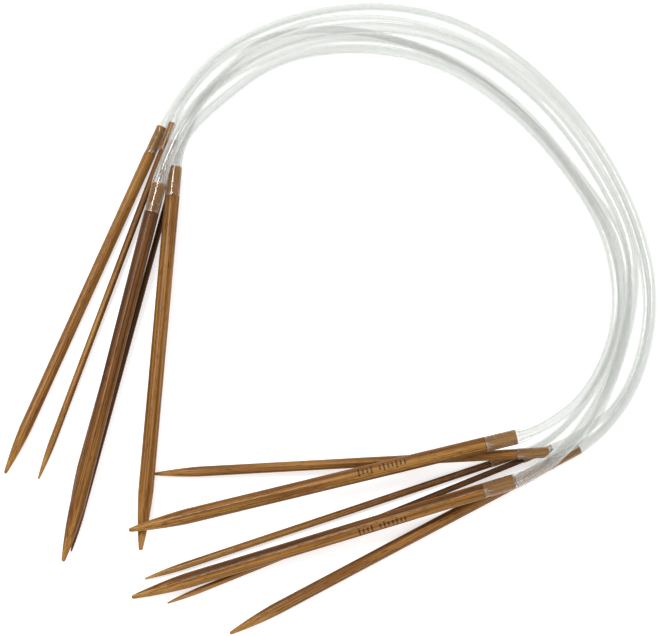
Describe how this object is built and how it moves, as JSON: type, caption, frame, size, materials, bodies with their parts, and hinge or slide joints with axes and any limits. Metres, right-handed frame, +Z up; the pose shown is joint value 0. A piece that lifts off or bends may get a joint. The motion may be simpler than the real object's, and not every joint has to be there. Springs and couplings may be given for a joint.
{
  "type": "circular knitting needle set",
  "caption": "Nested circular knitting needles: pairs of tapered bamboo tips joined by hollow clear flexible tubes, lying coiled in one loop.",
  "frame": {"origin": "centre of the tips' outline in plan, on the table they lie on", "axes": "+Z up from the table, +X to the right and +Y away from the person, the loop of tubes at +X +Y and the points towards -X -Y"},
  "size_m": [0.1619, 0.1633, 0.0114],
  "materials": {
    "bamboo": "polished",
    "clear_tube": "clear"
  },
  "bodies": {
    "needle_3_0_right": {"needle_3_0_right_tip": "bamboo", "needle_3_0_tube": "clear_tube"},
    "needle_3_0_left": {"needle_3_0_left_tip": "bamboo"},
    "needle_1_5_right": {"needle_1_5_right_tip": "bamboo", "needle_1_5_tube": "clear_tube"},
    "needle_1_5_left": {"needle_1_5_left_tip": "bamboo"},
    "needle_1_75_right": {"needle_1_75_right_tip": "bamboo", "needle_1_75_tube": "clear_tube"},
    "needle_1_75_left": {"needle_1_75_left_tip": "bamboo"},
    "needle_2_5_right": {"needle_2_5_right_tip": "bamboo", "needle_2_5_tube": "clear_tube"},
    "needle_2_5_left": {"needle_2_5_left_tip": "bamboo"},
    "needle_3_75_lower_right": {"needle_3_75_lower_right_tip": "bamboo", "needle_3_75_lower_tube": "clear_tube"},
    "needle_3_75_lower_left": {"needle_3_75_lower_left_tip": "bamboo"},
    "needle_3_75_upper_right": {"needle_3_75_upper_right_tip": "bamboo", "needle_3_75_upper_tube": "clear_tube"},
    "needle_3_75_upper_left": {"needle_3_75_upper_left_tip": "bamboo"}
  },
  "joints": [
    {"name": "needle_3_0_flex", "type": "hinge", "parent": "needle_3_0_right", "child": "needle_3_0_left", "pos_m": [0.072, 0.056, 0], "axis": [0, 0, 1], "range_deg": [-30, 0], "deforming": ["needle_3_0_tube"]},
    {"name": "needle_1_5_lift", "type": "slide", "parent": "needle_3_0_right", "child": "needle_1_5_right", "axis": [0, 0, 1], "range_m": [0, 0.02]},
    {"name": "needle_1_5_flex", "type": "hinge", "parent": "needle_1_5_right", "child": "needle_1_5_left", "pos_m": [0.072, 0.056, 0], "axis": [0, 0, 1], "range_deg": [-30, 0], "deforming": ["needle_1_5_tube"]},
    {"name": "needle_1_75_lift", "type": "slide", "parent": "needle_1_5_right", "child": "needle_1_75_right", "axis": [0, 0, 1], "range_m": [0, 0.02]},
    {"name": "needle_1_75_flex", "type": "hinge", "parent": "needle_1_75_right", "child": "needle_1_75_left", "pos_m": [0.072, 0.056, 0], "axis": [0, 0, 1], "range_deg": [-30, 0], "deforming": ["needle_1_75_tube"]},
    {"name": "needle_2_5_lift", "type": "slide", "parent": "needle_1_75_right", "child": "needle_2_5_right", "axis": [0, 0, 1], "range_m": [0, 0.02]},
    {"name": "needle_2_5_flex", "type": "hinge", "parent": "needle_2_5_right", "child": "needle_2_5_left", "pos_m": [0.072, 0.056, 0], "axis": [0, 0, 1], "range_deg": [-30, 0], "deforming": ["needle_2_5_tube"]},
    {"name": "needle_3_75_lower_lift", "type": "slide", "parent": "needle_2_5_right", "child": "needle_3_75_lower_right", "axis": [0, 0, 1], "range_m": [0, 0.02]},
    {"name": "needle_3_75_lower_flex", "type": "hinge", "parent": "needle_3_75_lower_right", "child": "needle_3_75_lower_left", "pos_m": [0.072, 0.056, 0], "axis": [0, 0, 1], "range_deg": [-30, 0], "deforming": ["needle_3_75_lower_tube"]},
    {"name": "needle_3_75_upper_lift", "type": "slide", "parent": "needle_3_75_lower_right", "child": "needle_3_75_upper_right", "axis": [0, 0, 1], "range_m": [0, 0.02]},
    {"name": "needle_3_75_upper_flex", "type": "hinge", "parent": "needle_3_75_upper_right", "child": "needle_3_75_upper_left", "pos_m": [0.072, 0.056, 0], "axis": [0, 0, 1], "range_deg": [-30, 0], "deforming": ["needle_3_75_upper_tube"]}
  ],
  "couplings": [
    {"joint": "needle_1_5_flex", "follows": "needle_3_0_flex", "ratio": 1},
    {"joint": "needle_1_75_flex", "follows": "needle_3_0_flex", "ratio": 1},
    {"joint": "needle_2_5_flex", "follows": "needle_3_0_flex", "ratio": 1},
    {"joint": "needle_3_75_lower_flex", "follows": "needle_3_0_flex", "ratio": 1},
    {"joint": "needle_3_75_upper_flex", "follows": "needle_3_0_flex", "ratio": 1}
  ]
}
